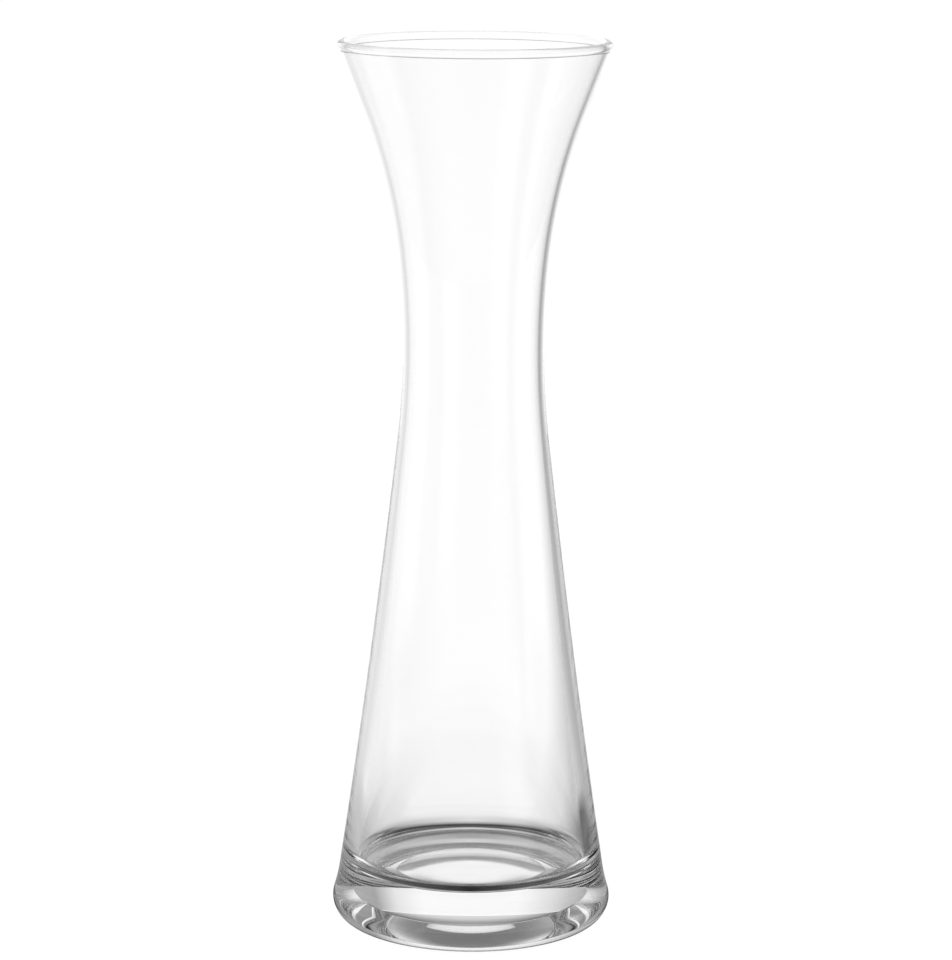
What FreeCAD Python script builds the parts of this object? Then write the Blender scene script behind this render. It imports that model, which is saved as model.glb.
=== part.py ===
import FreeCAD, Part
import math
import os
import Sketcher

# Clear glass forcing vase: one glass, cut into the zones that a glassmaker works it in.
# Origin: centre of the seat, on the surface that the vase stands on. +Z is up.

sizes = {
    # outside
    "foot_diameter": 79.0,
    "waist_diameter": 39.4,
    "mouth_diameter": 75.9,
    "waist_height": 165.0,
    "cup_height": 85.0,
    # foot: heel, flare above it, and the recess in the underside
    "heel_radius": 6.4,
    "flare_height": 16.0,
    "seat_width": 5.8,
    "recess_height": 3.9,
    "recess_slope_width": 5.4,
    "recess_round_radius": 0.8,
    # foot: inside, up to where the skirt's even wall begins
    "floor_height": 15.5,
    "floor_fillet_radius": 5.5,
    "foot_rise": 4.5,
    # walls
    "foot_wall": 4.3,
    "waist_wall": 1.75,
    # lip: a round bead, how far it stands out from the wall on each side, and the hollow under it
    "lip_thickness": 2.6,
    "lip_bulge_out": 0.3,
    "lip_bulge_in": 0.8,
    "neck_radius": 0.55,
}

# Where the side's curves change: a share of the way from the waist, and of the slope reached at its end.
skirt_shares = {"tight_height_share": 0.174, "tight_slope_share": 0.774, "flare_radius_share": 0.95}
cup_shares = {"tight_height_share": 0.294, "tight_slope_share": 0.305, "curved_height_share": 0.757}


# Every place below is a pair: its distance from the axis, and its height.
# A slope is an angle off upright, in radians. It is looked for between these two, by halving the range.
least_slope = 0.001
most_slope = 1.2
halvings = 60


def step_toward(start, goal, distance):
    """The point at a distance from start, on the line to goal."""
    span = math.dist(start, goal)
    return tuple(a + (b - a) * distance / span for a, b in zip(start, goal))


def solve_slope(miss):
    """The slope at which miss turns from negative to positive, halving the range until it is exact."""
    low, high = least_slope, most_slope
    for halving in range(halvings):
        middle = (low + high) / 2
        low, high = (low, middle) if miss(middle) > 0 else (middle, high)
    return (low + high) / 2


def side_curves(waist, way, stops):
    """Arcs that leave the waist upright and run smoothly on; way is 1 upwards and -1 downwards.

    stops holds, for each arc, how far from the waist's height it ends and at which slope.
    Returns each arc's end, centre and radius.
    """
    curves = []
    end, reached, slope = waist, 0, 0
    for distance, next_slope in stops:
        radius = (distance - reached) / (math.sin(next_slope) - math.sin(slope))
        centre = (end[0] + radius * math.cos(slope), end[1] - way * radius * math.sin(slope))
        end = (centre[0] - radius * math.cos(next_slope), waist[1] + way * distance)
        curves.append((end, centre, radius))
        reached, slope = distance, next_slope
    return curves


def skirt_curves(waist, end):
    """The skirt from the waist down to its end, and its slope there."""
    span = waist[1] - end[1]

    def curves(slope):
        tight = (skirt_shares["tight_height_share"] * span, skirt_shares["tight_slope_share"] * slope)
        return side_curves(waist, -1, [tight, (span, slope)])

    slope = solve_slope(lambda tried: curves(tried)[-1][0][0] - end[0])
    return curves(slope), slope


def cup_curves(waist, lip, offset, cup_height):
    """The cup from the waist up to its straight end, which passes the lip's centre at the offset."""

    def curves(slope):
        tight = (cup_shares["tight_height_share"] * cup_height, cup_shares["tight_slope_share"] * slope)
        return side_curves(waist, 1, [tight, (cup_shares["curved_height_share"] * cup_height, slope)])

    def miss(slope):
        end = curves(slope)[-1][0]
        goal = (lip[0] + offset * math.cos(slope), lip[1] - offset * math.sin(slope))
        return end[0] + (goal[1] - end[1]) * math.tan(slope) - goal[0]

    slope = solve_slope(miss)
    return curves(slope), slope


def add_neck(size, place, prefix, offset, slope):
    """The hollow under the lip's bead on one face, which touches the straight wall and the bead."""
    bead, radius = size["lip_radius"], size["neck_radius"]
    side = math.copysign(1, offset)
    down = math.sqrt((bead + radius) ** 2 - (abs(offset) + radius) ** 2)

    def beside(distance):
        across, up = place["lip_centre"]
        across += side * distance * math.cos(slope) - down * math.sin(slope)
        up -= side * distance * math.sin(slope) + down * math.cos(slope)
        return (across, up)

    centre = beside(abs(offset) + radius)
    place[prefix + "wall_end"] = beside(abs(offset))
    place[prefix + "lip_end"] = step_toward(place["lip_centre"], centre, bead)
    place[prefix + "neck_radius_centre"] = centre
    size[prefix + "neck_radius"] = radius


def add_side(size, place, prefix, waist, skirt_end, offset):
    """The skirt, waist, cup and neck of one face of the wall. Returns the skirt's slope at its end."""
    skirt, slope = skirt_curves(waist, skirt_end)
    cup, lean = cup_curves(waist, place["lip_centre"], offset, size["cup_height"])
    names = ("skirt_start", "skirt_end", "cup_start", "cup_end")
    radii = ("waist_lower_radius", "skirt_radius", "waist_upper_radius", "cup_radius")
    for name, radius_name, (end, centre, radius) in zip(names, radii, skirt + cup):
        place[prefix + name] = end
        place[prefix + radius_name + "_centre"] = centre
        size[prefix + radius_name] = radius
    place[prefix + "waist"] = waist
    add_neck(size, place, prefix, offset, lean)
    return slope


def add_heel(size, place, slope):
    """The heel's round, and the hollow flare that joins it to the skirt."""
    heel_radius = size["heel_radius"]
    heel = (size["foot_diameter"] / 2 - heel_radius, heel_radius)
    start = place["skirt_end"]

    def heel_end(turn):
        return (heel[0] + heel_radius * math.cos(turn), heel[1] + heel_radius * math.sin(turn))

    def flare_radius(turn):
        return (start[1] - heel_end(turn)[1]) / (math.sin(turn) - math.sin(slope))

    def miss(turn):
        swing = math.cos(slope) - math.cos(turn)
        return start[0] + flare_radius(turn) * swing - heel_end(turn)[0]

    turn = solve_slope(miss)
    radius = flare_radius(turn)
    end = heel_end(turn)
    size["flare_radius"] = abs(radius)
    place["flare_radius_centre"] = (end[0] + radius * math.cos(turn), end[1] + radius * math.sin(turn))
    place["heel_radius_centre"] = heel
    place["heel_end"] = end
    place["seat_outer"] = (heel[0], 0)


def add_recess(size, place):
    """The flat panel in the underside, and the slope from it down to the seat, rounded at both ends."""
    height, width = size["recess_height"], size["recess_slope_width"]
    radius = size["recess_round_radius"]
    foot = (place["seat_outer"][0] - size["seat_width"], 0)
    top = (foot[0] - width, height)
    # each round touches the slope and the flat beside it, so it starts this far from their corner
    trim = radius * math.tan(math.atan2(height, width) / 2)
    place["recess_centre"] = (0, height)
    place["panel_edge"] = (top[0] - trim, height)
    place["slope_top"] = step_toward(top, foot, trim)
    place["slope_foot"] = step_toward(foot, top, trim)
    place["seat_inner"] = (foot[0] + trim, 0)
    size["panel_round_radius"] = size["seat_round_radius"] = radius
    place["panel_round_radius_centre"] = (place["panel_edge"][0], height - radius)
    place["seat_round_radius_centre"] = (place["seat_inner"][0], radius)


def work_out_places(size):
    """Every corner and arc centre of the glass's section; arcs that follow from them go into the sizes."""
    place = {}
    lip_radius = size["lip_thickness"] / 2
    crown_height = size["waist_height"] + size["cup_height"]
    place["lip_centre"] = (size["mouth_diameter"] / 2 - lip_radius, crown_height - lip_radius)
    place["crown"] = (place["lip_centre"][0], crown_height)
    size["lip_radius"] = lip_radius
    place["lip_radius_centre"] = place["lip_centre"]

    waist = (size["waist_diameter"] / 2, size["waist_height"])
    flare_start = (skirt_shares["flare_radius_share"] * size["foot_diameter"] / 2, size["flare_height"])
    slope = add_side(size, place, "", waist, flare_start, lip_radius - size["lip_bulge_out"])
    add_heel(size, place, slope)
    add_recess(size, place)

    # the cut between foot and skirt stands clear above the floor's fillet
    cut_height = size["floor_height"] + size["floor_fillet_radius"] + size["foot_rise"]
    centre = place["skirt_radius_centre"]
    cut_across = centre[0] - math.sqrt(size["skirt_radius"] ** 2 - (centre[1] - cut_height) ** 2)
    place["foot_top"] = (cut_across, cut_height)
    inner_waist = (waist[0] - size["waist_wall"], waist[1])
    inner_cut = (cut_across - size["foot_wall"], cut_height)
    add_side(size, place, "inner_", inner_waist, inner_cut, size["lip_bulge_in"] - lip_radius)

    fillet_radius = size["floor_fillet_radius"]
    wall = place["inner_skirt_radius_centre"]
    fillet_height = size["floor_height"] + fillet_radius
    reach = size["inner_skirt_radius"] + fillet_radius
    fillet = (wall[0] - math.sqrt(reach**2 - (wall[1] - fillet_height) ** 2), fillet_height)
    place["floor_fillet_radius_centre"] = fillet
    place["fillet_end"] = step_toward(fillet, wall, fillet_radius)
    place["floor_edge"] = (fillet[0], size["floor_height"])
    place["floor_centre"] = (0, size["floor_height"])
    return place


# Each zone's section: the corner where each edge starts, and the edge's radius where it is round.
sections = {
    "foot": [
        ("recess_centre", None),
        ("panel_edge", "panel_round_radius"),
        ("slope_top", None),
        ("slope_foot", "seat_round_radius"),
        ("seat_inner", None),
        ("seat_outer", "heel_radius"),
        ("heel_end", "flare_radius"),
        ("skirt_end", "skirt_radius"),
        ("foot_top", None),
        ("inner_skirt_end", "inner_skirt_radius"),
        ("fillet_end", "floor_fillet_radius"),
        ("floor_edge", None),
        ("floor_centre", None),
    ],
    "water_chamber": [
        ("foot_top", "skirt_radius"),
        ("skirt_start", "waist_lower_radius"),
        ("waist", None),
        ("inner_waist", "inner_waist_lower_radius"),
        ("inner_skirt_start", "inner_skirt_radius"),
        ("inner_skirt_end", None),
    ],
    "bulb_cup": [
        ("waist", "waist_upper_radius"),
        ("cup_start", "cup_radius"),
        ("cup_end", None),
        ("wall_end", None),
        ("inner_wall_end", None),
        ("inner_cup_end", "inner_cup_radius"),
        ("inner_cup_start", "inner_waist_upper_radius"),
        ("inner_waist", None),
    ],
    "lip": [
        ("wall_end", "neck_radius"),
        ("lip_end", "lip_radius"),
        ("crown", "lip_radius"),
        ("inner_lip_end", "inner_neck_radius"),
        ("inner_wall_end", None),
    ],
}


def fill_sheet(doc, size, place):
    """The sheet of sizes: each cell holds a number and is known by its alias."""
    sheet = doc.addObject("Spreadsheet::Sheet", "Sizes")
    cells = dict(size)
    for name, (across, up) in place.items():
        cells[name + "_across"] = across
        cells[name + "_up"] = up
    for row, (alias, number) in enumerate(cells.items(), start=1):
        sheet.set(f"A{row}", alias)
        sheet.set(f"B{row}", repr(float(number)))
        sheet.setAlias(f"B{row}", alias)
    doc.recompute()


def section_edge(start, end, centre, radius):
    """A line or a short arc, and which of its ends comes first in the outline."""
    if centre is None:
        return Part.LineSegment(FreeCAD.Vector(*start, 0), FreeCAD.Vector(*end, 0)), (1, 2)
    first, last = (math.atan2(at[1] - centre[1], at[0] - centre[0]) for at in (start, end))
    circle = Part.Circle(FreeCAD.Vector(*centre, 0), FreeCAD.Vector(0, 0, 1), radius)
    if (last - first) % math.tau < math.pi:
        return Part.ArcOfCircle(circle, first, last), (1, 2)
    return Part.ArcOfCircle(circle, last, first), (2, 1)


def bind(sketch, kind, *where, alias, value):
    """A dimension of the sketch, tied to the sheet."""
    index = sketch.addConstraint(Sketcher.Constraint(kind, *where, value))
    sketch.setExpression(f"Constraints[{index}]", f"Sizes.{alias}")


def draw_section(sketch, edges, size, place):
    """The closed outline of a zone: its corners joined, placed from the axis and bound to the sheet."""
    ends = []
    for (start, radius), (goal, _) in zip(edges, edges[1:] + edges[:1]):
        centre = place[radius + "_centre"] if radius else None
        shape, order = section_edge(place[start], place[goal], centre, size.get(radius))
        sketch.addGeometry(shape, False)
        ends.append(order)
    for index, order in enumerate(ends):
        following = (index + 1) % len(ends)
        joint = Sketcher.Constraint("Coincident", index, order[1], following, ends[following][0])
        sketch.addConstraint(joint)
    for index, (start, radius) in enumerate(edges):
        first = ends[index][0]
        across, up = place[start]
        bind(sketch, "DistanceX", -1, 1, index, first, alias=start + "_across", value=across)
        bind(sketch, "DistanceY", -1, 1, index, first, alias=start + "_up", value=up)
        if radius:
            bind(sketch, "Radius", index, alias=radius, value=size[radius])


def turn_zone(doc, name, edges, size, place):
    """One zone of the glass: its section in the XZ plane, turned once around the axis."""
    body = doc.addObject("PartDesign::Body", name)
    body.Label = name
    plane = next(item for item in body.Origin.OriginFeatures if item.Role == "XZ_Plane")
    sketch = body.newObject("Sketcher::SketchObject", name + "_section")
    sketch.AttachmentSupport = [(plane, "")]
    sketch.MapMode = "FlatFace"
    draw_section(sketch, edges, size, place)
    turned = body.newObject("PartDesign::Revolution", name + "_turned")
    turned.Profile = sketch
    turned.ReferenceAxis = (sketch, ["V_Axis"])
    turned.Angle = 360
    body.Placement = FreeCAD.Placement()
    return body


def check(doc, zones):
    """Stops before anything is written if a feature failed or a zone is not one sound solid."""
    for item in doc.Objects:
        if {"Invalid", "Error"} & set(item.State):
            raise RuntimeError(f"{item.Label} failed: {item.State}")
    for zone in zones:
        if zone.Shape.isNull() or not zone.Shape.isValid() or len(zone.Shape.Solids) != 1:
            raise RuntimeError(f"{zone.Label} is not one sound solid")


os.makedirs("parts", exist_ok=True)
doc = FreeCAD.newDocument("forcing_vase")
places = work_out_places(sizes)
fill_sheet(doc, sizes, places)
zones = [turn_zone(doc, name, edges, sizes, places) for name, edges in sections.items()]
doc.recompute()
check(doc, zones)
for zone in zones:
    zone.Shape.exportStep(f"parts/{zone.Label}.step")
    box = zone.Shape.optimalBoundingBox()
    print(f"{zone.Label}: {zone.Shape.Volume / 1000:.2f} cm3, z {box.ZMin:.2f} to {box.ZMax:.2f} mm")
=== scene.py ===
import math

import bpy
from mathutils import Matrix


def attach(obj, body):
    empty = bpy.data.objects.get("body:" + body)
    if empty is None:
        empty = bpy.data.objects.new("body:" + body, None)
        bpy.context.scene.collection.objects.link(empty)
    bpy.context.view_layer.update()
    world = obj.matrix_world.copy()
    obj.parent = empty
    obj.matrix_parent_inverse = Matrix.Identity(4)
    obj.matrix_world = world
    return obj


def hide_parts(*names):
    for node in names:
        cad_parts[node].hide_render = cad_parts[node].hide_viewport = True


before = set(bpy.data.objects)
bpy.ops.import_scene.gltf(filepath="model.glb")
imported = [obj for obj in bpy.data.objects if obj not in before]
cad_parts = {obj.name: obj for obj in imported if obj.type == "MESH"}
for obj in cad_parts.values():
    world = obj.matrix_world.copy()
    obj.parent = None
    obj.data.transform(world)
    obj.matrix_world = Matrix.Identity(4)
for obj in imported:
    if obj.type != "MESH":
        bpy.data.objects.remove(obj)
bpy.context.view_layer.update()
mm = 0.001
print("frame loaded:", sorted(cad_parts))

# The camera stands a metre off, a little above the rim, and looks slightly down.
cameraSettings = {
    "distance": 1.0,  # metres
    "height": 0.3207,
    "sideways": 0.00085,
    "pitch": 10.96,  # degrees below level
    "roll": 0.3,
    "lens": 136.07,  # mm
    "sensor": 36.0,
    "clipStart": 0.01,  # metres
}


def placeCamera():
    data = bpy.data.cameras.new("photoCamera")
    data.sensor_width = cameraSettings["sensor"]
    data.lens = cameraSettings["lens"]
    data.clip_start = cameraSettings["clipStart"]
    camera = bpy.data.objects.new("photoCamera", data)
    bpy.context.scene.collection.objects.link(camera)
    place = (cameraSettings["sideways"], -cameraSettings["distance"], cameraSettings["height"])
    tilt = Matrix.Rotation(math.radians(90 - cameraSettings["pitch"]), 4, "X")
    roll = Matrix.Rotation(math.radians(cameraSettings["roll"]), 4, "Z")
    camera.matrix_world = Matrix.Translation(place) @ tilt @ roll
    bpy.context.scene.camera = camera


placeCamera()
print("camera placed")


def linearColour(code):
    # sRGB hex to the linear values that the shaders take
    values = [int(code[i:i + 2], 16) / 255 for i in (1, 3, 5)]
    linear = [v / 12.92 if v <= 0.04045 else ((v + 0.055) / 1.055) ** 2.4 for v in values]
    return (*linear, 1)


def addNode(tree, kind, settings=None, inputs=None):
    # settings are the node's own, inputs hold plain values or the output to link from
    node = tree.nodes.new(kind)
    for name, value in (settings or {}).items():
        if name == "stops":
            fillRamp(node.color_ramp, value)
        else:
            setattr(node, name, value)
    for name, value in (inputs or {}).items():
        if isinstance(value, bpy.types.NodeSocket):
            tree.links.new(value, node.inputs[name])
        else:
            node.inputs[name].default_value = value
    return node


def greyTone(tone):
    return (tone, tone, tone, 1)


def fillRamp(ramp, stops):
    while len(ramp.elements) < len(stops):
        ramp.elements.new(1)
    for element, (position, tone) in zip(ramp.elements, stops):
        element.position = position
        element.color = greyTone(tone)


# The glass: one outline of lines and arcs, in mm from the axis and the table, spun about the axis.
vaseSizes = {
    "footDiameter": 79.0,
    "waistDiameter": 39.4,
    "mouthDiameter": 75.9,
    "waistHeight": 165.0,
    "cupHeight": 85.0,
    "heelRadius": 6.4,
    "flareHeight": 16.0,
    "seatWidth": 5.8,
    "recessHeight": 3.9,
    "recessSlopeWidth": 5.4,
    "recessRound": 0.8,
    "floorHeight": 15.5,
    "floorFillet": 5.5,
    "footRise": 4.5,
    "footWall": 4.3,
    "waistWall": 1.75,
    "lipThickness": 2.6,
    "lipBulgeOut": 0.3,  # how far the bead of the lip stands out from the wall
    "lipBulgeIn": 0.8,
    "neckRadius": 0.55,  # of the hollow between the bead and the wall
    # shares of the way from the waist, and of the slope at the end, where the curve changes
    "skirtTightHeightShare": 0.174,
    "skirtTightSlopeShare": 0.774,
    "flareRadiusShare": 0.95,
    "cupTightHeightShare": 0.294,
    "cupTightSlopeShare": 0.305,
    "cupCurvedHeightShare": 0.757,
    "leastSlope": 0.001,  # radians off upright, the range in which slopes are looked for
    "mostSlope": 1.2,
    "halvings": 60,
    "sag": 0.0025,  # mm between an arc and its chords
    "turnStep": 3.0,  # degrees between two chords, at most
    "around": 280,
    "creaseAngle": 5.0,  # degrees
    "mergeDistance": 0.001,  # mm
}


def solveSlope(miss):
    low, high = vaseSizes["leastSlope"], vaseSizes["mostSlope"]
    for halving in range(vaseSizes["halvings"]):
        middle = (low + high) / 2
        low, high = (low, middle) if miss(middle) > 0 else (middle, high)
    return (low + high) / 2


def sideArcs(waist, way, stops):
    # arcs that leave the waist upright, way 1 up or -1 down: each is its centre and its end
    arcs, end, reached, slope = [], waist, 0, 0
    for distance, nextSlope in stops:
        radius = (distance - reached) / (math.sin(nextSlope) - math.sin(slope))
        centre = (end[0] + radius * math.cos(slope), end[1] - way * radius * math.sin(slope))
        end = (centre[0] - radius * math.cos(nextSlope), waist[1] + way * distance)
        arcs.append((centre, end))
        reached, slope = distance, nextSlope
    return arcs


def skirtArcs(waist, end):
    span = waist[1] - end[1]

    def arcs(slope):
        tight = (vaseSizes["skirtTightHeightShare"] * span, vaseSizes["skirtTightSlopeShare"] * slope)
        return sideArcs(waist, -1, [tight, (span, slope)])

    slope = solveSlope(lambda tried: arcs(tried)[-1][1][0] - end[0])
    return arcs(slope), slope


def cupArcs(waist, lip, offset):
    rise = vaseSizes["cupHeight"]

    def arcs(slope):
        tight = (vaseSizes["cupTightHeightShare"] * rise, vaseSizes["cupTightSlopeShare"] * slope)
        return sideArcs(waist, 1, [tight, (vaseSizes["cupCurvedHeightShare"] * rise, slope)])

    def touch(slope):
        return (lip[0] + offset * math.cos(slope), lip[1] - offset * math.sin(slope))

    def miss(slope):
        end, goal = arcs(slope)[-1][1], touch(slope)
        return end[0] + (goal[1] - end[1]) * math.tan(slope) - goal[0]

    slope = solveSlope(miss)
    return arcs(slope), slope


def lipNeck(lip, lipRadius, offset, slope):
    # the hollow under the bead: its end on the wall, its centre and its end on the bead
    radius = vaseSizes["neckRadius"]
    side = math.copysign(1, offset)
    down = math.sqrt((lipRadius + radius) ** 2 - (abs(offset) + radius) ** 2)

    def place(off):
        across = lip[0] + side * off * math.cos(slope) - down * math.sin(slope)
        return (across, lip[1] - side * off * math.sin(slope) - down * math.cos(slope))

    centre = place(abs(offset) + radius)
    share = lipRadius / (lipRadius + radius)
    onBead = tuple(a + (b - a) * share for a, b in zip(lip, centre))
    return place(abs(offset)), centre, onBead


def flareArc(start, slope):
    # the hollow flare from the heel's round up to the skirt: its centre, and where it leaves the heel
    heelRadius = vaseSizes["heelRadius"]
    heel = (vaseSizes["footDiameter"] / 2 - heelRadius, heelRadius)

    def leave(turn):
        return (heel[0] + heelRadius * math.cos(turn), heel[1] + heelRadius * math.sin(turn))

    def radius(turn):
        return (start[1] - leave(turn)[1]) / (math.sin(turn) - math.sin(slope))

    def miss(turn):
        return start[0] + radius(turn) * (math.cos(slope) - math.cos(turn)) - leave(turn)[0]

    turn = solveSlope(miss)
    end = leave(turn)
    centre = (end[0] + radius(turn) * math.cos(turn), end[1] + radius(turn) * math.sin(turn))
    return heel, centre, end


def filletArc(wall, wallEnd):
    # the round between the inner floor and the skirt's inner face
    radius = vaseSizes["floorFillet"]
    height = vaseSizes["floorHeight"] + radius
    reach = math.dist(wall, wallEnd) + radius
    centre = (wall[0] - math.sqrt(reach**2 - (wall[1] - height) ** 2), height)
    start = tuple(a + (b - a) * radius / reach for a, b in zip(centre, wall))
    return centre, start


def addArc(points, centre, end):
    # from the last point round the centre to end, the short way
    start = points[-1]
    radius = math.dist(centre, start)
    first, last = (math.atan2(at[1] - centre[1], at[0] - centre[0]) for at in (start, end))
    turn = (last - first + math.pi) % math.tau - math.pi
    step = min(2 * math.acos(1 - vaseSizes["sag"] / radius), math.radians(vaseSizes["turnStep"]))
    count = math.ceil(abs(turn) / step)
    for index in range(1, count):
        angle = first + turn * index / count
        points.append((centre[0] + radius * math.cos(angle), centre[1] + radius * math.sin(angle)))
    points.append(end)


def recessPoints(seatOuter):
    # the flat panel in the underside, and the slope from it down to the seat
    height, width, radius = (vaseSizes[name] for name in ("recessHeight", "recessSlopeWidth", "recessRound"))
    foot = seatOuter - vaseSizes["seatWidth"]
    top = foot - width
    lean = math.atan2(height, width)
    trim = radius * math.tan(lean / 2)  # from a corner to where its round starts
    across, down = trim * math.cos(lean), trim * math.sin(lean)

    points = [(0, height), (top - trim, height)]
    addArc(points, (top - trim, height - radius), (top + across, height - down))
    points.append((foot - across, down))
    addArc(points, (foot + trim, radius), (foot + trim, 0))
    return points


def glassOutline():
    size = vaseSizes
    lipRadius = size["lipThickness"] / 2
    crown = size["waistHeight"] + size["cupHeight"]
    lip = (size["mouthDiameter"] / 2 - lipRadius, crown - lipRadius)
    waist = (size["waistDiameter"] / 2, size["waistHeight"])
    innerWaist = (waist[0] - size["waistWall"], waist[1])

    flareEnd = (size["flareRadiusShare"] * size["footDiameter"] / 2, size["flareHeight"])
    skirt, slope = skirtArcs(waist, flareEnd)
    heel, flare, heelEnd = flareArc(skirt[1][1], slope)
    outer, inner = lipRadius - size["lipBulgeOut"], size["lipBulgeIn"] - lipRadius
    cup, lean = cupArcs(waist, lip, outer)
    innerCup, innerLean = cupArcs(innerWaist, lip, inner)
    neck = lipNeck(lip, lipRadius, outer, lean)
    innerNeck = lipNeck(lip, lipRadius, inner, innerLean)

    # the even wall begins at the cut above the floor's fillet
    cut = size["floorHeight"] + size["floorFillet"] + size["footRise"]
    centre, end = skirt[1]
    cutAcross = centre[0] - math.sqrt(math.dist(centre, end) ** 2 - (centre[1] - cut) ** 2)
    innerSkirt = skirtArcs(innerWaist, (cutAcross - size["footWall"], cut))[0]
    fillet, filletStart = filletArc(*innerSkirt[1])

    points = recessPoints(heel[0])
    points.append((heel[0], 0))
    addArc(points, heel, heelEnd)
    addArc(points, flare, skirt[1][1])
    addArc(points, skirt[1][0], skirt[0][1])
    addArc(points, skirt[0][0], waist)
    addArc(points, cup[0][0], cup[0][1])
    addArc(points, cup[1][0], cup[1][1])
    points.append(neck[0])
    addArc(points, neck[1], neck[2])
    addArc(points, lip, (lip[0], crown))
    addArc(points, lip, innerNeck[2])
    addArc(points, innerNeck[1], innerNeck[0])
    points.append(innerCup[1][1])
    addArc(points, innerCup[1][0], innerCup[0][1])
    addArc(points, innerCup[0][0], innerWaist)
    addArc(points, innerSkirt[0][0], innerSkirt[0][1])
    addArc(points, innerSkirt[1][0], filletStart)
    addArc(points, fillet, (fillet[0], size["floorHeight"]))
    points.append((0, size["floorHeight"]))
    return points


def deselectAll():
    if bpy.context.object and bpy.context.object.mode != "OBJECT":
        bpy.ops.object.mode_set(mode="OBJECT")
    bpy.ops.object.select_all(action="DESELECT")


def spinGlass(points):
    # a single point, extruded from one point of the outline to the next
    deselectAll()
    bpy.ops.mesh.primitive_plane_add(size=1)
    glass = bpy.context.object
    glass.name = "vaseGlass"
    bpy.ops.object.mode_set(mode="EDIT")
    bpy.ops.mesh.merge(type="CENTER")
    first = points[0]
    bpy.ops.transform.translate(value=(first[0] * mm, 0, first[1] * mm))
    for last, point in zip(points, points[1:]):
        step = ((point[0] - last[0]) * mm, 0, (point[1] - last[1]) * mm)
        bpy.ops.mesh.extrude_region_move(TRANSFORM_OT_translate={"value": step})
    bpy.ops.object.mode_set(mode="OBJECT")
    bpy.ops.object.modifier_add(type="SCREW")
    turn = glass.modifiers[-1]
    turn.steps = turn.render_steps = vaseSizes["around"]
    turn.use_merge_vertices = True
    turn.merge_threshold = vaseSizes["mergeDistance"] * mm
    bpy.ops.object.modifier_apply(modifier=turn.name)
    bpy.ops.object.mode_set(mode="EDIT")
    bpy.ops.mesh.select_all(action="SELECT")
    bpy.ops.mesh.remove_doubles(threshold=vaseSizes["mergeDistance"] * mm)
    bpy.ops.mesh.normals_make_consistent(inside=False)
    bpy.ops.object.mode_set(mode="OBJECT")
    bpy.ops.object.shade_smooth_by_angle(angle=math.radians(vaseSizes["creaseAngle"]))
    return glass


glass = spinGlass(glassOutline())
print("glass spun:", len(glass.data.vertices), "vertices")


glassFinish = {
    "colour": "#ffffff",
    "roughness": 0.0,
    "ior": 1.52,
    "bodyColour": "#ebebeb",
    "bodyDensity": 6.0,  # per metre
}


def sodaLimeGlass():
    # pressed and blown soda-lime glass, fire polished: clear and smooth, with a faint grey where it is thick
    material = bpy.data.materials.new("sodaLimeGlass")
    material.use_nodes = True
    tree = material.node_tree
    shader = tree.nodes["Principled BSDF"]
    shader.inputs["Base Color"].default_value = linearColour(glassFinish["colour"])
    shader.inputs["Roughness"].default_value = glassFinish["roughness"]
    shader.inputs["IOR"].default_value = glassFinish["ior"]
    shader.inputs["Transmission Weight"].default_value = 1.0
    inputs = {"Color": linearColour(glassFinish["bodyColour"]), "Density": glassFinish["bodyDensity"]}
    body = addNode(tree, "ShaderNodeVolumeAbsorption", inputs=inputs)
    tree.links.new(body.outputs["Volume"], tree.nodes["Material Output"].inputs["Volume"])
    return material


glass.data.materials.append(sodaLimeGlass())
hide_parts("foot", "water_chamber", "bulb_cup", "lip")
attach(glass, "root")
print("glass finished")

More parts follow.
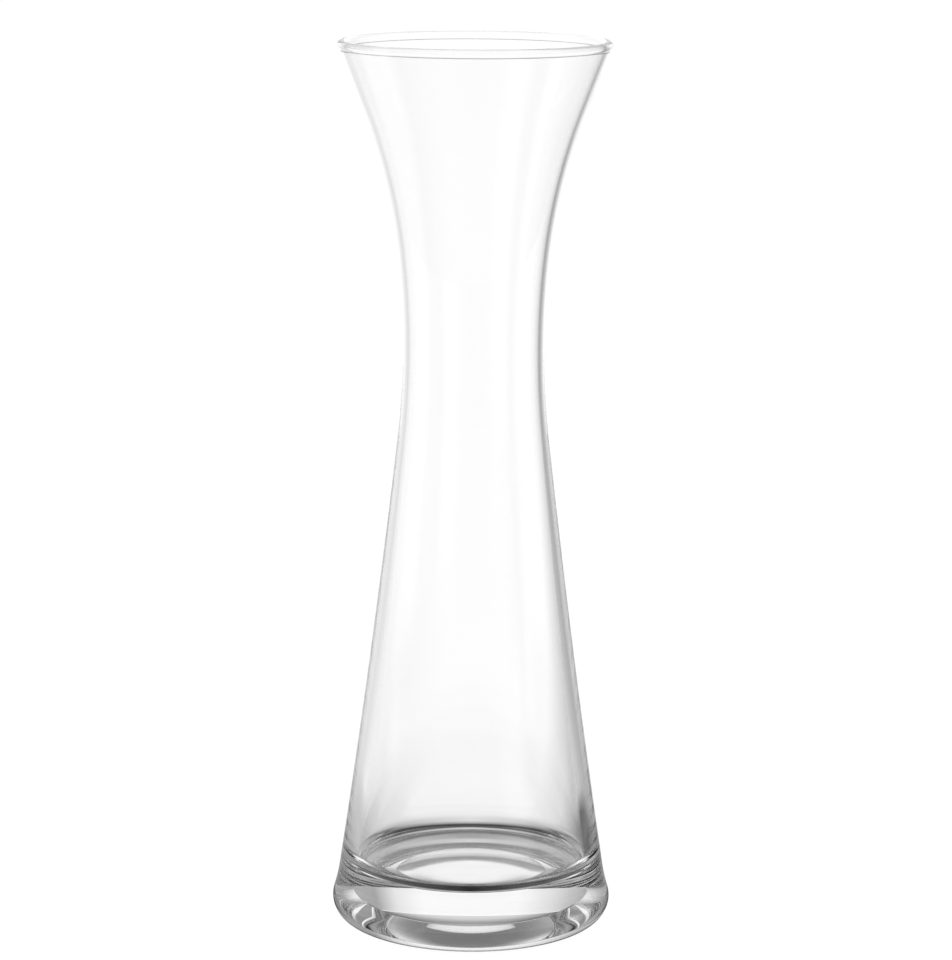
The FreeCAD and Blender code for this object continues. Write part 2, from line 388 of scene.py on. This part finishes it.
# The studio, as the glass shows it: a white backdrop straight behind the vase, darker sides, and a pale table
# on which light and shade are painted.
# The camera itself sees white round the vase, and its faint shadow.
studioSettings = {
    # degrees round from straight behind the vase, and tone, of the room, and of the table near the vase,
    # where they are painted light and shade
    "roomTones": [
        (-180, 0.6), (-150, 0.55), (-125, 0.5), (-100, 0.35), (-96, 0.85), (-84, 0.85), (-79, 0.45),
        (-65, 0.3), (-50, 0.4), (-36, 0.6), (-25, 0.86), (-14, 1.06), (14, 1.08), (24, 0.88), (34, 0.38),
        (50, 0.42), (65, 0.35), (80, 0.35), (100, 0.3), (125, 0.45), (150, 0.6), (180, 0.6),
    ],
    # the same of the table farther off: painted light and shade, bright behind the vase and darker at the
    # sides
    "tableShadeTones": [
        (-180, 0.4), (-150, 0.5), (-125, 0.45), (-105, 0.35), (-92, 0.9), (-80, 0.95), (-65, 1.1),
        (-52, 0.88), (-38, 0.72), (-26, 0.85), (-16, 1.08), (14, 1.08), (23, 0.7), (34, 0.33), (50, 0.6),
        (65, 0.68), (80, 0.85), (100, 0.6), (118, 0.35), (128, 0.8), (142, 0.8), (155, 0.5), (180, 0.4),
    ],
    "tableFrom": 110.0,  # mm from the axis in which the room's tones give way to the table's
    "tableFull": 200.0,
    # painted shade: the table near the vase takes this share of the room's tones, a little darker
    "nearShadeShare": 0.9,  # of the room's tones, on the table near the vase
    "ceilingTone": 0.2,
    "ceilingFrom": 0.42,  # height of the direction in which the walls begin to give way to the ceiling
    "ceilingFull": 0.8,
    # painted shadow and light on the table under the foot, dark rings of painted shadow round a bright middle
    # of painted light focused through the foot: mm from the axis, and tone, by degrees round from straight
    # behind
    "underShadowTones": {
        0: [
            (0, 0.93), (16, 0.95), (22, 1.05), (24.5, 0.1), (26, 0.0), (30.5, 0.0), (32, 0.75), (34, 0.6),
            (36, 0.2), (40, 0.2), (43, 0.0), (46, 0.0), (49, 0.35), (54, 0.75), (62, 0.85), (75, 0.9),
        ],
        40: [
            (0, 0.93), (16, 0.95), (21, 0.9), (23, 0.0), (31, 0.0), (33, 0.4), (37, 0.5), (40, 0.3),
            (42, 0.0), (51, 0.0), (58, 0.45), (75, 0.75),
        ],
        90: [
            (0, 0.93), (8, 0.9), (16, 0.7), (20, 0.92), (24, 0.4), (28, 0.05), (32, 0.2), (36, 0.05),
            (40, 0.35), (44, 0.0), (62, 0.0), (75, 0.0),
        ],
        180: [(0, 0.93), (8, 0.98), (12, 0.85), (15, 0.3), (18, 0.0), (62, 0.0), (75, 0.1)],
    },
    "underFrom": 62.0,  # mm from the axis in which these tones give way to the table's
    "underFull": 75.0,
    # painted shade: grey patches painted on the table, which draw the dark edges of the foot: place in mm,
    # half width, width of the soft edge, tone
    "shadePatches": [(-105, 70, 20, 50, 0.5), (115, 68, 30, 28, 0.08)],
    "floorSize": 40.0,  # metres
    "floorDrop": 0.1,  # mm under the seat
    "floorWhite": 0.95,
    "floorPaint": "#848484",
    "bounces": 32,
}


mixSockets = {"first": 6, "second": 7, "result": 2}  # a Mix node's sockets for colours


def fade(tree, measured, start, end, first, second):
    # the first tone gives way to the second as what is measured goes from start to end
    inputs = {"Value": measured, "From Min": start, "From Max": end}
    share = addNode(tree, "ShaderNodeMapRange", inputs=inputs).outputs[0]
    inputs = {"Factor": share, mixSockets["first"]: first, mixSockets["second"]: second}
    return addNode(tree, "ShaderNodeMix", {"data_type": "RGBA"}, inputs).outputs[mixSockets["result"]]


def findDirection(tree, place):
    # radians round the axis from straight behind the vase, to the right, and the height
    parts = addNode(tree, "ShaderNodeSeparateXYZ", inputs={0: place}).outputs
    angle = addNode(tree, "ShaderNodeMath", {"operation": "ARCTAN2"}, {0: parts["X"], 1: parts["Y"]})
    return angle.outputs[0], parts["Z"]


def tonesRound(tree, angle, name, strength=1.0):
    # the ramp runs once round, from straight before the vase
    inputs = {"Value": angle, "From Min": -math.pi, "From Max": math.pi}
    share = addNode(tree, "ShaderNodeMapRange", inputs=inputs).outputs[0]
    stops = [(0.5 + turn / 360, tone * strength) for turn, tone in studioSettings[name]]
    return addNode(tree, "ShaderNodeValToRGB", {"stops": stops}, {0: share}).outputs["Color"]


def shadowUnderFoot(tree, angle, distance):
    # painted shadow: dark rings on the table under the foot round a bright middle of painted light, with
    # their own tones behind, beside and before the vase
    reach = studioSettings["underFull"]
    share = addNode(tree, "ShaderNodeMapRange", inputs={"Value": distance, "From Max": reach * mm}).outputs[0]
    turn = addNode(tree, "ShaderNodeMath", {"operation": "ABSOLUTE"}, {0: angle}).outputs[0]
    ramps = []
    for stops in studioSettings["underShadowTones"].values():
        stops = [(at / reach, tone) for at, tone in stops]
        ramps.append(addNode(tree, "ShaderNodeValToRGB", {"stops": stops}, {0: share}).outputs["Color"])
    turns = [math.radians(degrees) for degrees in studioSettings["underShadowTones"]]
    under = ramps[0]
    for last, following, ramp in zip(turns, turns[1:], ramps[1:]):
        under = fade(tree, turn, last, following, under, ramp)
    return under


def addShadePatches(tree, place, table):
    # painted shade: each patch darkens the table to its tone, softly at its edge
    for across, back, half, blur, tone in studioSettings["shadePatches"]:
        inputs = {0: place, 1: (across * mm, back * mm, 0)}
        away = addNode(tree, "ShaderNodeVectorMath", {"operation": "DISTANCE"}, inputs).outputs["Value"]
        table = fade(tree, away, half * mm, (half + blur) * mm, greyTone(tone), table)
    return table


def forCamera(tree, others, camera):
    # one shader for the camera, another for what the glass shows
    seen = addNode(tree, "ShaderNodeLightPath").outputs["Is Camera Ray"]
    return addNode(tree, "ShaderNodeMixShader", inputs={0: seen, 1: others, 2: camera}).outputs[0]


def studioWorld():
    world = bpy.data.worlds.new("studio")
    bpy.context.scene.world = world
    world.use_nodes = True
    tree = world.node_tree
    tree.nodes.clear()
    way = addNode(tree, "ShaderNodeTexCoord").outputs["Generated"]
    angle, height = findDirection(tree, way)
    walls = tonesRound(tree, angle, "roomTones")
    ceiling = greyTone(studioSettings["ceilingTone"])
    start, end = studioSettings["ceilingFrom"], studioSettings["ceilingFull"]
    tones = fade(tree, height, start, end, walls, ceiling)
    room = addNode(tree, "ShaderNodeBackground", inputs={"Color": tones}).outputs[0]
    white = addNode(tree, "ShaderNodeBackground", inputs={"Color": greyTone(1)}).outputs[0]
    addNode(tree, "ShaderNodeOutputWorld", inputs={"Surface": forCamera(tree, room, white)})


def whiteTable():
    # a matt table, white to the camera but for the faint shadow that its grey paint takes; what the glass
    # sees on it is painted light and shade, glowing
    material = bpy.data.materials.new("whiteTable")
    material.use_nodes = True
    tree = material.node_tree
    tree.nodes.clear()
    place = addNode(tree, "ShaderNodeTexCoord").outputs["Object"]
    angle = findDirection(tree, place)[0]
    distance = addNode(tree, "ShaderNodeVectorMath", {"operation": "LENGTH"}, {0: place}).outputs["Value"]

    # painted light and shade on the table: the room's tones, darkened near the vase, then the far table's
    # tones
    near = tonesRound(tree, angle, "roomTones", studioSettings["nearShadeShare"])
    far = tonesRound(tree, angle, "tableShadeTones")
    start, end = studioSettings["tableFrom"] * mm, studioSettings["tableFull"] * mm
    table = addShadePatches(tree, place, fade(tree, distance, start, end, near, far))
    start, end = studioSettings["underFrom"] * mm, studioSettings["underFull"] * mm
    # the painted shadow under the foot gives way to the table's tones farther off
    tones = fade(tree, distance, start, end, shadowUnderFoot(tree, angle, distance), table)
    # the painted light and shade glows for the rays that come through the glass
    paintedLightAndShade = addNode(tree, "ShaderNodeEmission", inputs={"Color": tones}).outputs[0]

    white, paint = greyTone(studioSettings["floorWhite"]), linearColour(studioSettings["floorPaint"])
    glow = addNode(tree, "ShaderNodeEmission", inputs={"Color": white}).outputs[0]
    matt = addNode(tree, "ShaderNodeBsdfDiffuse", inputs={"Color": paint}).outputs[0]
    shaded = addNode(tree, "ShaderNodeAddShader", inputs={0: glow, 1: matt}).outputs[0]
    addNode(tree, "ShaderNodeOutputMaterial", inputs={"Surface": forCamera(tree, paintedLightAndShade, shaded)})
    return material


def studioFloor():
    deselectAll()
    place = (0, 0, -studioSettings["floorDrop"] * mm)
    bpy.ops.mesh.primitive_plane_add(size=studioSettings["floorSize"], location=place)
    floor = bpy.context.object
    floor.name = "paleTable"
    floor.data.materials.append(whiteTable())


studioWorld()
studioFloor()
scene = bpy.context.scene
scene.view_settings.view_transform = "Standard"
scene.cycles.max_bounces = studioSettings["bounces"]
scene.cycles.transmission_bounces = studioSettings["bounces"]
scene.cycles.glossy_bounces = studioSettings["bounces"]
print("studio lit")
